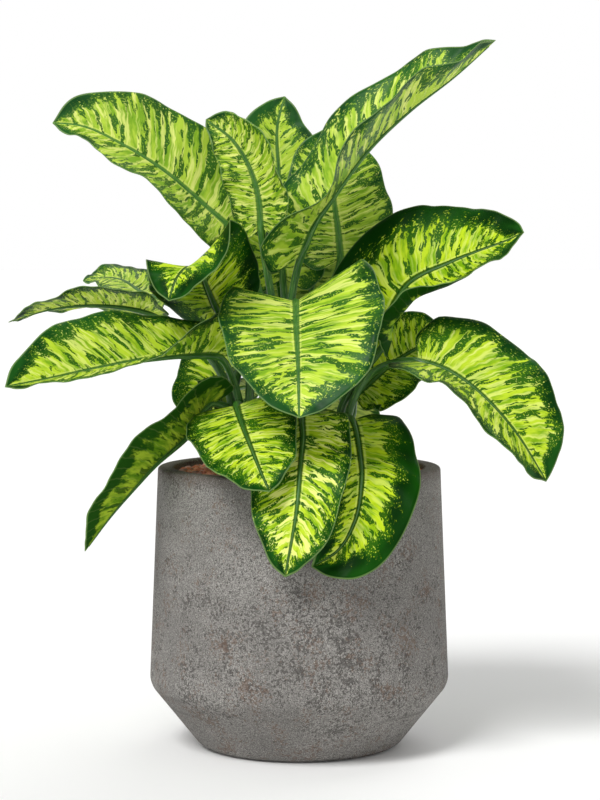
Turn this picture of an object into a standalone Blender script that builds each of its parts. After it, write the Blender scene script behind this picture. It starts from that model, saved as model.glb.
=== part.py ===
"""A potted dieffenbachia: four canes with their leaves, standing in clay granules in a round planter.

Metres, +Z up. The origin is the middle of the planter's foot, and -Y is the plant's front.
Each leaf is one piece, as it grew: a stalk that runs on as the midrib of its blade.
"""

import math
from dataclasses import dataclass

import bmesh
import bpy
import numpy as np

CM = 0.01

# ---------------------------------------------------------------- driving dimensions

PLANTER_HEIGHT = 0.318
PLANTER_BELLY_RADIUS = 0.170
PLANTER_BELLY_HEIGHT = 0.072
PLANTER_RIM_RADIUS = 0.1605
PLANTER_FOOT_RADIUS = 0.113
PLANTER_RIM_WIDTH = 0.018
PLANTER_FLOOR = 0.016
RIM_LEDGE_DEPTH = 0.030

GAP = 0.0004
GRANULE_DROP = 0.011
GRANULE_CROWN = 0.006

CANE_RADIUS = 0.0125
CANE_HEAD_RADIUS = 0.0165
CANE_SCAR_HEIGHT = 0.0012
CANE_SCAR_SPACING = 0.022
CANE_ROOT_DEPTH = 0.060

STALK_FOOT_RADIUS = 0.0046
STALK_RADIUS = 0.0042
STALK_RING_RADIUS = 0.0108
RIB_TIP_RADIUS = 0.0007
BLADE_THICKNESS = 0.0010

# ---------------------------------------------------------------- the leaf's flat shape

# Where each vein leaves the midrib, and where it meets the margin: across in half widths,
# along in blade lengths from the stalk. The first veins run back into the two basal lobes.
VEIN_ROOT = (0.0, 0.012, 0.035, 0.085, 0.19, 0.34, 0.52, 0.71, 0.88, 1.0)
MARGIN_ACROSS = (0.05, 0.36, 0.68, 0.90, 1.00, 0.98, 0.86, 0.60, 0.26, 0.0)
MARGIN_ALONG = (-0.01, -0.075, -0.045, 0.085, 0.27, 0.46, 0.66, 0.84, 0.955, 1.0)

# The veins and the lines across the blade that the solid is built on.
SOLID_VEINS = (0.015, 0.035, 0.07, 0.14, 0.24, 0.35, 0.46, 0.57, 0.68, 0.79, 0.88, 0.95)
SOLID_COLUMNS = (0.30, 0.55, 0.80, 1.0)
STALK_RINGS = 6


@dataclass(frozen=True)
class Cane:
    """A stem: where it stands, and the height of the head that its stalks grow from."""

    x: float
    y: float
    top: float


CANES = {
    "left": Cane(-6.6, -3.5, 37.0),
    "right": Cane(4.4, -3.8, 35.5),
    "middle": Cane(-1.0, 1.2, 40.0),
    "back": Cane(0.5, 7.5, 37.0),
}


@dataclass(frozen=True)
class Leaf:
    """One leaf, in centimetres and degrees.

    spot: the compass angle of its stalk on the cane's head (0 front, 90 right), None for the middle.
    stalk: points that the stalk passes through, and rib: the midrib from the blade's base to its tip.
    face: (compass, elevation) of the upper face's normal at the base, and face_tip at the tip.
    half: the widths of the left and right halves, seen from above with the tip pointing away.
    left and right list how steeply each half folds up from the base to the tip, and the curls
    add a steady bend from the midrib to the margin. wave is the margin's (height, count, phase).
    """

    cane: str
    spot: float
    stalk: tuple
    rib: tuple
    face: tuple
    half: tuple
    face_tip: tuple = None
    left: tuple = (10, 10, 10)
    right: tuple = (10, 10, 10)
    left_curl: tuple = (0, 0, 0)
    right_curl: tuple = (0, 0, 0)
    wave: tuple = (0.25, 3, 0)


LEAVES = {
    "leaf_top_right": Leaf(
        "middle", None, ((-1.2, 0.2, 47.0),),
        ((0.2, -1.5, 55.6), (1.5, -1.8, 59.0), (3.7, -2.3, 62.2), (7.5, -3.0, 67.3),
         (12.3, -3.5, 71.8), (17.3, -4.0, 75.6), (21.7, -4.5, 79.5)),
        face=(-90, 42), half=(6.9, 7.2), left=(52, 52, 52, 55, 45), right=(50, 8, 22, 24, 20),
        wave=(0.55, 3.2, 0.0),
    ),
    "leaf_top_left": Leaf(
        "middle", -120, ((-3.2, 1.9, 46.0), (-4.9, 1.4, 52.5)),
        ((-7.3, -0.1, 58.1), (-10.9, -1.2, 61.5), (-15.1, -3.0, 65.1), (-19.7, -4.5, 68.0),
         (-24.2, -5.5, 70.0), (-27.2, -6.0, 70.3)),
        face=(33, 36), half=(6.4, 7.3), left=(5, 18, 22, 22, 20), right=(22, 22, 25, 35, 50),
        wave=(0.3, 3, 0.1),
    ),
    "leaf_rolled": Leaf(
        "middle", -60, ((-3.0, -0.4, 50.0),),
        ((-4.3, -1.6, 58.8), (-4.5, -2.2, 61.8), (-5.4, -2.8, 65.2), (-7.5, -3.4, 68.6), (-10.4, -3.6, 70.8)),
        face=(-20, 12), half=(3.4, 5.2), left=(15, 15, 15), right=(15, 15, 25),
        right_curl=(30, 50, 40),
    ),
    "leaf_top_centre": Leaf(
        "middle", 180, ((-1.4, 4.4, 47.0),),
        ((-1.9, 7.2, 53.0), (-2.2, 9.2, 59.5), (-2.4, 10.5, 65.1), (-2.5, 11.5, 71.3), (-1.7, 12.0, 74.3)),
        face=(0, 20), half=(6.3, 6.0),
    ),
    "leaf_centre_right": Leaf(
        "middle", 120, ((1.6, 3.3, 49.0),),
        ((4.7, 4.6, 54.9), (4.6, 5.0, 57.3), (4.0, 6.0, 62.4), (3.9, 7.0, 66.7), (4.3, 8.0, 70.7)),
        face=(0, 20), half=(6.0, 6.4),
    ),
    "leaf_right": Leaf(
        "right", None, ((4.7, -3.7, 38.5), (6.4, -3.0, 41.6)),
        ((9.8, -2.0, 46.4), (10.3, -2.5, 49.5), (11.8, -3.0, 52.2), (16.8, -4.5, 55.0),
         (20.0, -5.5, 56.3), (23.2, -6.5, 57.5), (24.7, -7.5, 58.3)),
        face=(-90, 62), half=(8.4, 7.5),
        left=(80, 65, 48, 35), right=(-30, -60, -45, -20),
        right_curl=(90, 110, 70, 30),
    ),
    "leaf_right_low": Leaf(
        "right", 60, ((7.8, -4.5, 42.3),),
        ((13.1, -8.0, 44.1), (15.8, -9.5, 43.4), (17.9, -10.5, 42.2), (20.1, -12.0, 40.4),
         (23.2, -13.5, 36.9), (26.7, -14.0, 31.4)),
        face=(40, 33), half=(8.0, 7.5), left=(21, 21, 21), right=(21, 21, 21),
    ),
    "leaf_right_under": Leaf(
        "right", 120, ((5.9, -2.6, 37.6),),
        ((6.3, -1.3, 39.6), (8.0, -1.0, 41.2), (10.6, -0.2, 43.4), (14.0, 1.2, 45.4), (17.3, 3.0, 46.6)),
        face=(0, 20), half=(5.6, 5.0), right=(35, 30, 20),
    ),
    "leaf_front": Leaf(
        "middle", 0, ((-0.6, -2.4, 46.0), (-0.5, -4.2, 49.8)),
        ((-0.4, -6.0, 50.6), (-0.3, -12.0, 47.7), (-0.1, -18.0, 43.7), (0.0, -22.0, 38.9)),
        face=(0, 70), half=(10.2, 8.4), face_tip=(0, 35), left=(32, 22, 5), right=(14, 10, 8),
    ),
    "leaf_left_curled": Leaf(
        "left", 60, ((-5.6, -3.6, 42.0), (-6.5, -2.3, 46.5)),
        ((-9.0, -2.2, 49.2), (-10.2, -5.0, 51.9), (-10.9, -8.5, 53.9), (-12.0, -11.5, 54.6),
         (-13.2, -13.5, 53.3), (-14.0, -14.5, 50.9)),
        face=(-120, 50), half=(7.0, 6.0), face_tip=(-30, 10), left=(0, 0, 0), right=(45, 40, 10),
    ),
    "leaf_left_back": Leaf(
        "left", 120, ((-5.6, -0.6, 42.0), (-9.5, 2.5, 46.8)),
        ((-15.5, 4.5, 50.4), (-18.4, 6.0, 51.5), (-20.6, 7.0, 52.8), (-22.6, 7.5, 53.1), (-25.2, 7.5, 52.7)),
        face=(0, 68), half=(4.6, 5.2), left=(8, 8, 8), right=(-3, -3, 0),
    ),
    "leaf_left_narrow": Leaf(
        "left", -120, ((-8.6, -2.6, 42.0), (-11.5, -2.6, 46.0)),
        ((-16.0, -1.0, 49.0), (-22.5, -2.6, 50.2), (-28.0, -3.8, 49.7), (-32.4, -4.6, 48.3)),
        face=(0, 88), half=(5.2, 3.2), left=(20, 26, 18), right=(-12, -12, -5),
    ),
    "leaf_left": Leaf(
        "left", None, ((-7.3, -4.4, 41.5),),
        ((-8.8, -6.0, 44.4), (-12.0, -8.0, 44.8), (-16.3, -10.5, 44.5), (-22.5, -14.0, 43.5),
         (-27.6, -16.5, 42.5), (-31.2, -18.0, 41.9)),
        face=(0, 55), half=(6.6, 7.2), left=(95, 60, 33, 32, 25), right=(5, 8, 22, 30, 35),
    ),
    "leaf_left_drooping": Leaf(
        "left", -60, (),
        ((-9.6, -4.4, 39.2), (-12.6, -6.6, 35.6), (-15.9, -8.8, 32.7), (-18.0, -10.5, 30.4),
         (-20.4, -12.0, 27.6), (-23.3, -13.0, 23.7)),
        face=(-90, 45), half=(5.6, 4.2), left=(28, 38, 42, 35), right=(8, 15, 15),
    ),
    "leaf_left_under": Leaf(
        "left", 180, ((-7.2, -0.9, 40.3),),
        ((-7.0, 1.2, 42.8), (-8.5, 3.6, 41.8), (-10.0, 5.8, 38.8), (-10.8, 7.2, 35.0)),
        face=(-10, 35), half=(6.0, 6.2),
    ),
    "leaf_front_left": Leaf(
        "left", 0, (),
        ((-6.9, -9.0, 39.3), (-6.1, -14.0, 37.5), (-5.0, -17.5, 35.1), (-3.9, -20.0, 32.7),
         (-3.1, -21.5, 31.1)),
        face=(0, 60), half=(5.7, 6.0), left=(15, 12, 10), right=(-12, -5, 0),
    ),
    "leaf_front_low": Leaf(
        "right", -60, (),
        ((0.5, -9.5, 38.8), (0.4, -14.5, 35.9), (0.1, -17.6, 33.0), (-0.2, -19.5, 29.5), (-1.5, -20.4, 21.9)),
        face=(0, 60), half=(5.3, 5.8), face_tip=(0, 0), left=(3, 9, 10), right=(-15, -15, 0),
    ),
    "leaf_front_right": Leaf(
        "right", 0, (),
        ((5.8, -9.0, 37.7), (6.6, -13.0, 34.2), (6.7, -15.8, 31.6), (6.0, -17.0, 27.6), (4.2, -17.3, 24.4),
         (1.3, -17.5, 22.6)),
        face=(12, 60), half=(6.3, 3.6), face_tip=(12, 0), left=(0, 8, 24), right=(10, 12, 15),
    ),
    "leaf_back_low": Leaf(
        "back", 180, ((0.5, 9.4, 41.0),),
        ((0.5, 12.0, 43.3), (0.2, 18.0, 43.0), (0.0, 24.0, 39.0), (-0.3, 28.0, 32.5)),
        face=(180, 60), half=(6.3, 6.3), face_tip=(180, 25),
    ),
    "leaf_back_left": Leaf(
        "back", -60, ((-1.8, 8.4, 42.5),),
        ((-4.0, 11.0, 44.8), (-8.0, 14.5, 46.2), (-12.0, 18.0, 46.4), (-16.0, 22.0, 45.0)),
        face=(-140, 78), half=(5.2, 5.2),
    ),
    "leaf_back_right": Leaf(
        "back", 60, ((3.2, 8.0, 45.0),),
        ((7.8, 9.7, 50.5), (10.0, 12.5, 53.5), (12.8, 15.5, 55.6), (16.0, 19.0, 56.6)),
        face=(150, 72), half=(4.8, 5.2),
    ),
    "leaf_back_upright": Leaf(
        "back", None, ((1.2, 8.6, 43.0),),
        ((1.4, 9.8, 50.5), (1.8, 11.8, 56.0), (2.2, 13.3, 62.0), (2.6, 14.2, 68.5)),
        face=(180, 30), half=(4.8, 4.8),
    ),
    "leaf_back_upper_left": Leaf(
        "back", 0, ((0.3, 6.6, 42.0), (-1.6, 8.6, 47.0)),
        ((-3.9, 11.2, 50.5), (-5.4, 13.8, 54.5), (-7.2, 16.5, 58.5), (-8.5, 19.0, 62.0)),
        face=(-160, 35), half=(4.4, 4.4),
    ),
    "leaf_back_right_low": Leaf(
        "back", 120, (),
        ((3.2, 11.5, 39.0), (4.4, 15.5, 39.2), (5.7, 20.0, 36.5), (6.5, 24.0, 31.5)),
        face=(160, 55), half=(4.6, 4.6),
    ),
    "leaf_back_left_low": Leaf(
        "back", -120, (),
        ((-4.2, 10.8, 39.6), (-6.5, 15.0, 40.0), (-9.0, 19.5, 38.0), (-11.0, 23.5, 33.5)),
        face=(-160, 55), half=(4.8, 4.8),
    ),
}


# ---------------------------------------------------------------- geometry


def direction(compass, elevation):
    """The unit vector towards a compass angle (0 front, 90 right) and an elevation, in degrees."""
    a, e = math.radians(compass), math.radians(elevation)
    return np.array((math.sin(a) * math.cos(e), -math.cos(a) * math.cos(e), math.sin(e)))


def unit(vector):
    return vector / np.linalg.norm(vector)


def eased(stops, at, marks=None):
    """A smooth value through stops, which lie at marks from 0 to 1 or evenly spaced."""
    stops = np.asarray(stops, float)
    marks = np.linspace(0, 1, len(stops)) if marks is None else np.asarray(marks, float)
    slopes = np.gradient(stops, marks, axis=0)
    i = int(np.clip(np.searchsorted(marks, at, side="right") - 1, 0, len(marks) - 2))
    step = marks[i + 1] - marks[i]
    t = (at - marks[i]) / step
    return (
        (2 * t**3 - 3 * t**2 + 1) * stops[i]
        + (t**3 - 2 * t**2 + t) * step * slopes[i]
        + (3 * t**2 - 2 * t**3) * stops[i + 1]
        + (t**3 - t**2) * step * slopes[i + 1]
    )


class Path:
    """A smooth curve through points, read by the share of its length."""

    def __init__(self, points):
        points = np.asarray(points, float)
        chords = np.linalg.norm(np.diff(points, axis=0), axis=1)
        marks = np.concatenate(([0], np.cumsum(chords))) / chords.sum()
        fine = np.linspace(0, 1, 400)
        self.points = np.array([eased(points, t, marks) for t in fine])
        steps = np.linalg.norm(np.diff(self.points, axis=0), axis=1)
        self.shares = np.concatenate(([0], np.cumsum(steps))) / steps.sum()
        self.length = steps.sum()

    def share_at(self, point):
        return self.shares[np.argmin(np.linalg.norm(self.points - point, axis=1))]

    def at(self, share):
        return np.array([np.interp(share, self.shares, self.points[:, k]) for k in range(3)])

    def heading(self, share):
        near = 0.01
        low, high = max(0.0, share - near), min(1.0, share + near)
        return unit(self.at(high) - self.at(low))


class Blade:
    """A leaf's blade in space: where each point of its upper face lies."""

    def __init__(self, leaf, path, base_share):
        self.leaf = leaf
        self.path = path
        self.base_share = base_share
        self.length = path.length * (1 - base_share)

    def frame(self, along):
        """Place, heading, side and upper normal at a distance along the midrib, in blade lengths."""
        inside = min(max(along, 0.0), 1.0)
        share = self.base_share + inside * (1 - self.base_share)
        heading = self.path.heading(share)
        place = self.path.at(share) + heading * (along - inside) * self.length
        first = direction(*self.leaf.face)
        last = direction(*(self.leaf.face_tip or self.leaf.face))
        normal = first * (1 - inside) + last * inside
        normal = unit(normal - heading * (normal @ heading))
        return place, heading, np.cross(heading, normal), normal

    def point(self, root, v):
        """The upper face on the vein from root, at v from -1 (left margin) to 1 (right margin)."""
        reach = abs(v)
        half = self.leaf.half[1 if v > 0 else 0] * CM
        height, count, phase = self.leaf.wave
        turn = 2 * math.pi * (count * root + phase + (0.3 if v > 0 else 0))
        swell = height * CM * min(1, 6 * root, 5 * (1 - root)) * reach**2
        across = eased(MARGIN_ACROSS, root, VEIN_ROOT) * half * reach + 0.6 * swell * math.cos(turn)
        margin = eased(MARGIN_ALONG, root, VEIN_ROOT)
        along = root + (margin - root) * reach**1.3
        place, _, side, normal = self.frame(along)
        folds = self.leaf.right if v > 0 else self.leaf.left
        curls = self.leaf.right_curl if v > 0 else self.leaf.left_curl
        inside = min(max(along, 0.0), 1.0)
        fold = math.radians(eased(folds, inside))
        bend = math.radians(eased(curls, inside)) / half
        if abs(bend) > 1e-6:
            out = (math.sin(fold + bend * across) - math.sin(fold)) / bend
            up = (math.cos(fold) - math.cos(fold + bend * across)) / bend
        else:
            out = math.cos(fold) * across
            up = math.sin(fold) * across
        ripple = swell * math.sin(turn)
        turned = fold + bend * across
        away = side * math.copysign(1, v)
        lift = normal * math.cos(turned) - away * math.sin(turned)
        return place + away * out + normal * up + lift * ripple


def rib_radius(root):
    """Half the midrib's depth, from the stalk's at the base to almost nothing at the tip."""
    return RIB_TIP_RADIUS + (STALK_RADIUS * 0.8 - RIB_TIP_RADIUS) * (1 - root) ** 1.3


def blade_columns():
    """The lines across the blade, from the left margin to the right one."""
    return [-v for v in reversed(SOLID_COLUMNS)] + [0.0] + list(SOLID_COLUMNS)


def blade_ring(blade, root):
    """The closed section along one pair of veins: left margin, over the top, right margin, back beneath."""
    _, _, _, normal = blade.frame(root)
    columns = blade_columns()
    top = [blade.point(root, v) for v in columns]
    ring = list(top)
    for k in range(len(columns) - 2, 0, -1):
        across = unit(top[k + 1] - top[k - 1])
        along = blade.point(min(root + 0.01, 1.0), columns[k]) - blade.point(max(root - 0.01, 0.0), columns[k])
        down = unit(np.cross(along, across))
        if columns[k] == 0.0:
            down = -normal
        depth = BLADE_THICKNESS + (rib_radius(root) * 1.6 if columns[k] == 0.0 else 0)
        ring.append(top[k] + down * depth)
    return ring


def stalk_rings(path, base_share, normal):
    """Round sections from the stalk's foot to the blade, turned so that they meet the blade's own."""
    count = 2 * len(SOLID_COLUMNS) * 2
    shares = np.linspace(base_share * 0.985, 0, STALK_RINGS)
    rings = []
    up = normal
    for share in shares:
        heading = path.heading(share)
        up = unit(up - heading * (up @ heading))
        side = np.cross(heading, up)
        radius = STALK_RADIUS + (STALK_FOOT_RADIUS - STALK_RADIUS) * (1 - share / base_share)
        place = path.at(share)
        turns = [math.pi * (1 - 2 * k / count) for k in range(count)]
        rings.append([place + radius * (math.cos(a) * side + math.sin(a) * up) for a in turns])
    return rings[::-1]


def leaf_path(leaf):
    cane = CANES[leaf.cane]
    foot = np.array((cane.x, cane.y, cane.top)) * CM
    if leaf.spot is not None:
        foot = foot + direction(leaf.spot, 0) * STALK_RING_RADIUS
    foot[2] += GAP
    above = foot + np.array((0, 0, 1.2 * CM))
    rib = [np.array(p) * CM for p in leaf.rib]
    path = Path([foot, above] + [np.array(p) * CM for p in leaf.stalk] + rib)
    return path, path.share_at(rib[0])


def material(name, colour, roughness):
    made = bpy.data.materials.new(name)
    made.use_nodes = True
    shader = made.node_tree.nodes["Principled BSDF"]
    shader.inputs["Base Color"].default_value = (*colour, 1)
    shader.inputs["Roughness"].default_value = roughness
    shader.inputs["Metallic"].default_value = 0
    made.diffuse_color = (*colour, 1)
    return made


def linked(name, mesh, finish, collection):
    obj = bpy.data.objects.new(name, mesh)
    collection.objects.link(obj)
    mesh.materials.append(finish)
    return obj


def split_across(blade, near_root, far_root, column, rings):
    """Whether a blade's panel is better cut from its near outer corner, judged at the panel's middle."""
    columns = blade_columns()
    middle = blade.point((near_root + far_root) / 2, (columns[column] + columns[column + 1]) / 2)
    near, far = rings
    one = np.linalg.norm((near[column] + far[column + 1]) / 2 - middle)
    other = np.linalg.norm((near[column + 1] + far[column]) / 2 - middle)
    return other < one


def make_leaf(name, leaf, finish, collection):
    """A loft from the round stalk into the thin blade, whose sections follow the veins.

    Each panel is cut into two triangles, and the face below it is cut the same way, so that
    the two faces keep their distance where the blade twists.
    """
    path, base_share = leaf_path(leaf)
    blade = Blade(leaf, path, base_share)
    _, _, _, normal = blade.frame(0.0)
    rings = stalk_rings(path, base_share, normal)
    first_blade = len(rings)
    rings += [blade_ring(blade, root) for root in SOLID_VEINS]
    bm = bmesh.new()
    made = [[bm.verts.new(p) for p in ring] for ring in rings]
    size = len(made[0])
    half = size // 2
    for i, (near, far) in enumerate(zip(made, made[1:])):
        for k in range(size):
            after = (k + 1) % size
            column = k if k < half else size - 1 - k
            turned_over = k >= half
            if i >= first_blade:
                roots = SOLID_VEINS[i - first_blade], SOLID_VEINS[i - first_blade + 1]
                other = split_across(blade, *roots, column, (rings[i], rings[i + 1]))
            else:
                other = False
            if other != turned_over:
                bm.faces.new((near[k], near[after], far[k]))
                bm.faces.new((near[after], far[after], far[k]))
            else:
                bm.faces.new((near[k], near[after], far[after]))
                bm.faces.new((near[k], far[after], far[k]))
    bm.faces.new(made[0][::-1])
    tip = bm.verts.new(blade.point(1.0, 0.0))
    for k in range(size):
        bm.faces.new((made[-1][k], made[-1][(k + 1) % size], tip))
    mesh = bpy.data.meshes.new(name)
    bm.to_mesh(mesh)
    bm.free()
    mesh.shade_smooth()
    return linked(name, mesh, finish, collection)


def rounded(corners, steps=5):
    """An outline through (radius, height, rounding) corners, each rounded by an arc of that radius."""
    places = [np.array(c[:2]) for c in corners]
    outline = [places[0]]
    for before, here, after, corner in zip(places, places[1:], places[2:], corners[1:]):
        size = corner[2]
        if size == 0:
            outline.append(here)
            continue
        back, on = unit(before - here), unit(after - here)
        half = math.acos(float(np.clip(back @ on, -1, 1))) / 2
        run = size / math.tan(half)
        middle = here + unit(back + on) * size / math.sin(half)
        start, end = here + back * run - middle, here + on * run - middle
        sweep = math.pi - 2 * half
        for k in range(steps + 1):
            t = k / steps
            arc = start * math.sin((1 - t) * sweep) + end * math.sin(t * sweep)
            outline.append(middle + arc / math.sin(sweep))
    return outline + [places[-1]]


def turned(name, outline, steps, finish, collection):
    """A solid of revolution about Z, from an outline that runs down its outer side."""
    mesh = bpy.data.meshes.new(name)
    points = [(float(r), 0.0, float(z)) for r, z in outline]
    mesh.from_pydata(points, [(k, k + 1) for k in range(len(points) - 1)], [])
    obj = linked(name, mesh, finish, collection)
    screw = obj.modifiers.new("turned", "SCREW")
    screw.steps = screw.render_steps = steps
    screw.use_merge_vertices = True
    screw.merge_threshold = 0.00005
    screw.use_smooth_shade = True
    return obj


def make_planter(finish, collection):
    inner = PLANTER_RIM_RADIUS - PLANTER_RIM_WIDTH
    inside = inner + 0.003
    corners = [
        (0, PLANTER_FLOOR, 0),
        (inside - 0.040, PLANTER_FLOOR, 0.020),
        (inside, PLANTER_BELLY_HEIGHT, 0.010),
        (inside, PLANTER_HEIGHT - RIM_LEDGE_DEPTH, 0.002),
        (inner, PLANTER_HEIGHT - RIM_LEDGE_DEPTH + 0.003, 0.001),
        (inner, PLANTER_HEIGHT, 0.003),
        (PLANTER_RIM_RADIUS, PLANTER_HEIGHT, 0.004),
        (PLANTER_BELLY_RADIUS + 0.0005, PLANTER_BELLY_HEIGHT, 0.022),
        (PLANTER_FOOT_RADIUS, 0, 0.014),
        (0, 0, 0),
    ]
    return turned("planter", rounded(corners, 3), 48, finish, collection)


def cane_outline(cane):
    """A ringed stem from its rooted foot to the head where the stalks spring."""
    top = cane.top * CM
    foot = PLANTER_HEIGHT - GRANULE_DROP - CANE_ROOT_DEPTH
    outline = [(0, top), (CANE_HEAD_RADIUS, top), (CANE_HEAD_RADIUS, top - 0.012)]
    scar = top - 0.030
    while scar > foot + CANE_SCAR_SPACING:
        outline += [
            (CANE_RADIUS, scar + 0.004),
            (CANE_RADIUS + CANE_SCAR_HEIGHT, scar),
            (CANE_RADIUS, scar - 0.004),
        ]
        scar -= CANE_SCAR_SPACING
    return outline + [(CANE_RADIUS, foot), (0, foot)]


def make_cane(name, cane, finish, collection):
    obj = turned(name, cane_outline(cane), 14, finish, collection)
    obj.location = (cane.x * CM, cane.y * CM, 0)
    return obj


def make_granules(finish, collection, cutters):
    """The bed of clay granules that fills the planter, with a socket for each rooted cane."""
    surface = PLANTER_HEIGHT - GRANULE_DROP
    inner = PLANTER_RIM_RADIUS - PLANTER_RIM_WIDTH
    inside = inner + 0.003
    corners = [
        (0, surface + GRANULE_CROWN, 0),
        (inner * 0.6, surface + GRANULE_CROWN * 0.7, 0.1),
        (inner - 3 * GAP, surface, 0.002),
        (inner - 3 * GAP, PLANTER_HEIGHT - RIM_LEDGE_DEPTH - 0.002, 0.002),
        (inside - 3 * GAP, PLANTER_HEIGHT - RIM_LEDGE_DEPTH - 0.006, 0.002),
        (inside - 3 * GAP, PLANTER_BELLY_HEIGHT, 0.010),
        (inside - 0.041, PLANTER_FLOOR + GAP, 0.020),
        (0, PLANTER_FLOOR + GAP, 0),
    ]
    bed = turned("clay_granules", rounded(corners, 3), 40, finish, collection)
    for name, cane in CANES.items():
        bpy.ops.mesh.primitive_cylinder_add(
            vertices=14,
            radius=CANE_RADIUS + CANE_SCAR_HEIGHT + 2 * GAP,
            depth=2 * (CANE_ROOT_DEPTH + GAP),
            location=(cane.x * CM, cane.y * CM, surface),
        )
        socket = bpy.context.active_object
        socket.name = "socket_" + name
        socket.hide_render = True
        socket.display_type = "WIRE"
        for home in list(socket.users_collection):
            home.objects.unlink(socket)
        cutters.objects.link(socket)
        cut = bed.modifiers.new("socket_" + name, "BOOLEAN")
        cut.operation = "DIFFERENCE"
        cut.object = socket
        cut.solver = "EXACT"
    return bed


def main():
    for obj in list(bpy.data.objects):
        bpy.data.objects.remove(obj)
    plant = bpy.data.collections.new("potted_dieffenbachia")
    cutters = bpy.data.collections.new("cutters")
    bpy.context.scene.collection.children.link(plant)
    bpy.context.scene.collection.children.link(cutters)
    concrete = material("concrete", (0.16, 0.15, 0.145), 0.9)
    clay = material("fired clay", (0.55, 0.20, 0.13), 0.9)
    leaf_green = material("leaf", (0.22, 0.42, 0.06), 0.4)
    cane_green = material("cane", (0.20, 0.30, 0.10), 0.5)
    make_planter(concrete, plant)
    make_granules(clay, plant, cutters)
    for name, cane in CANES.items():
        make_cane("cane_" + name, cane, cane_green, plant)
    for name, leaf in LEAVES.items():
        make_leaf(name, leaf, leaf_green, plant)


main()
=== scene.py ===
# %% [markdown]
# # A potted dieffenbachia
# A dieffenbachia is a house plant with broad variegated leaves. This one has four canes in one round
# planter of rough fibre cement, filled up with fired clay granules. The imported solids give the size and
# the place of every part, and this lesson dresses them in fine meshes and painted finishes.

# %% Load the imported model
import math
from dataclasses import dataclass

import bmesh
import bpy
import numpy as np
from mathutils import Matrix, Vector


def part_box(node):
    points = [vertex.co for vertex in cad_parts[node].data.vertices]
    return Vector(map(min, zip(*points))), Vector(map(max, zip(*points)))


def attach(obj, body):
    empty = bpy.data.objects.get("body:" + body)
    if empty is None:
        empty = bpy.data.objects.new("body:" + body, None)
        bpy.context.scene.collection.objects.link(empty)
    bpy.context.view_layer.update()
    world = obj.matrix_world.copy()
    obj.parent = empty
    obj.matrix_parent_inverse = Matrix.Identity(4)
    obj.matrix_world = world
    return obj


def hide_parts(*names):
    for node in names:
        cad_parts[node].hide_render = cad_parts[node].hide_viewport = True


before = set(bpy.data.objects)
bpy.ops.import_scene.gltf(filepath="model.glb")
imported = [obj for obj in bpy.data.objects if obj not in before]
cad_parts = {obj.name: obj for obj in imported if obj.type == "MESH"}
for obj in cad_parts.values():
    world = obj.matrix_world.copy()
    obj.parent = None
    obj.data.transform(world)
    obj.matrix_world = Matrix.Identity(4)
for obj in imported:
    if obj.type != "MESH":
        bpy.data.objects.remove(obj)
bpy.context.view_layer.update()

CM = 0.01
MM = 0.001

# %% [markdown]
# Operators work on whatever is selected, and a fresh import leaves everything selected. So each piece
# starts by clearing the selection. When a piece is done it is tied to the body it stands on, and the
# imported parts that it stands for are hidden.

# %% Small helpers for making pieces


def clear_selection():
    """Leave edit mode and deselect every object."""
    if bpy.context.object and bpy.context.object.mode != "OBJECT":
        bpy.ops.object.mode_set(mode="OBJECT")
    bpy.ops.object.select_all(action="DESELECT")


def choose(*objs):
    """Select only these objects, the first of them active."""
    clear_selection()
    for obj in objs:
        obj.select_set(True)
    bpy.context.view_layer.objects.active = objs[0]


def settle(obj):
    """Put an object's place, turn and size into its mesh."""
    choose(obj)
    bpy.ops.object.transform_apply(location=True, rotation=True, scale=True)


def stand_in(obj, slot, *nodes):
    """Tie a finished piece to the body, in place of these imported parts."""
    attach(obj, "root")
    if nodes:
        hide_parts(*nodes)


def select_where(obj, kind, test):
    """In edit mode, select only the vertices, or the edges, whose middle passes a test."""
    bpy.ops.mesh.select_mode(type=kind)
    bpy.ops.mesh.select_all(action="DESELECT")
    bm = bmesh.from_edit_mesh(obj.data)
    if kind == "VERT":
        chosen = [v for v in bm.verts if test(v.co)]
    else:
        chosen = [e for e in bm.edges if test((e.verts[0].co + e.verts[1].co) / 2)]
    for part in chosen:
        part.select_set(True)
    bm.select_flush_mode()
    bmesh.update_edit_mesh(obj.data)
    return len(chosen)


# %% [markdown]
# Finishes are built from nodes. Writing each link by hand hides the idea, so a small class wraps a
# node's output and lets a sum be written as a sum: `1 - mask` adds a Math node for us. Every other
# node comes from one method that takes its type, its settings and what goes into its sockets.

# %% A wire that can be used in a sum


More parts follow.
